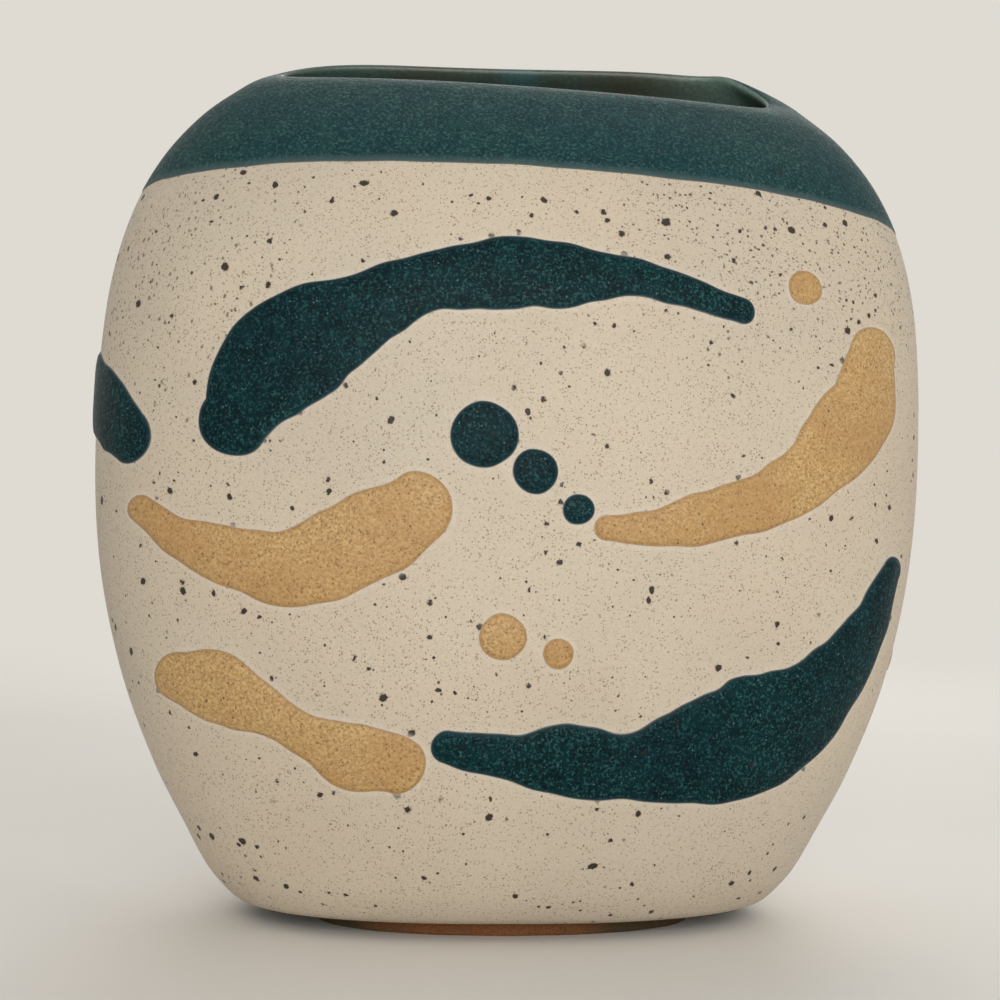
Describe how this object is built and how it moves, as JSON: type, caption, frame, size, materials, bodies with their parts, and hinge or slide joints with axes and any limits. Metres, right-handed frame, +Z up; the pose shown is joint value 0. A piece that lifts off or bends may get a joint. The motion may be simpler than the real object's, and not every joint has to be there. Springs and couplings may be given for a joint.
{
  "type": "pillow vase",
  "caption": "Stoneware pillow vase with an oval plan, swollen flat faces, a long narrow mouth, a dipped collar, poured glaze marks and a small bare foot",
  "frame": {"origin": "Middle of the underside of the foot, on the surface that the vase stands on", "axes": "+Z up to the mouth, -Y towards the viewer of the pictured front, +X to that viewer's right"},
  "size_m": [0.2024, 0.1119, 0.2109],
  "materials": {
    "clay": "matte",
    "cream_glaze": "satin",
    "teal_glaze": "satin",
    "collar_glaze": "satin",
    "ochre_glaze": "satin",
    "inner_glaze": "satin"
  },
  "bodies": {
    "root": {"front_wall": "clay", "back_wall": "clay", "floor_slab": "clay", "foot_pad": "clay", "cream_coat": "cream_glaze", "teal_collar": "collar_glaze", "inner_glaze": "inner_glaze", "pour_teal_arch": "teal_glaze", "pour_ochre_arch": "ochre_glaze", "pour_ochre_crescent": "ochre_glaze", "pour_teal_crescent": "teal_glaze", "pour_ochre_wave": "ochre_glaze", "pour_teal_left_side": "teal_glaze", "pour_ochre_right_side": "ochre_glaze", "pour_teal_back": "teal_glaze", "pour_ochre_back": "ochre_glaze", "drops_teal": "teal_glaze", "drops_ochre": "ochre_glaze", "drops_teal_back": "teal_glaze"}
  },
  "joints": []
}
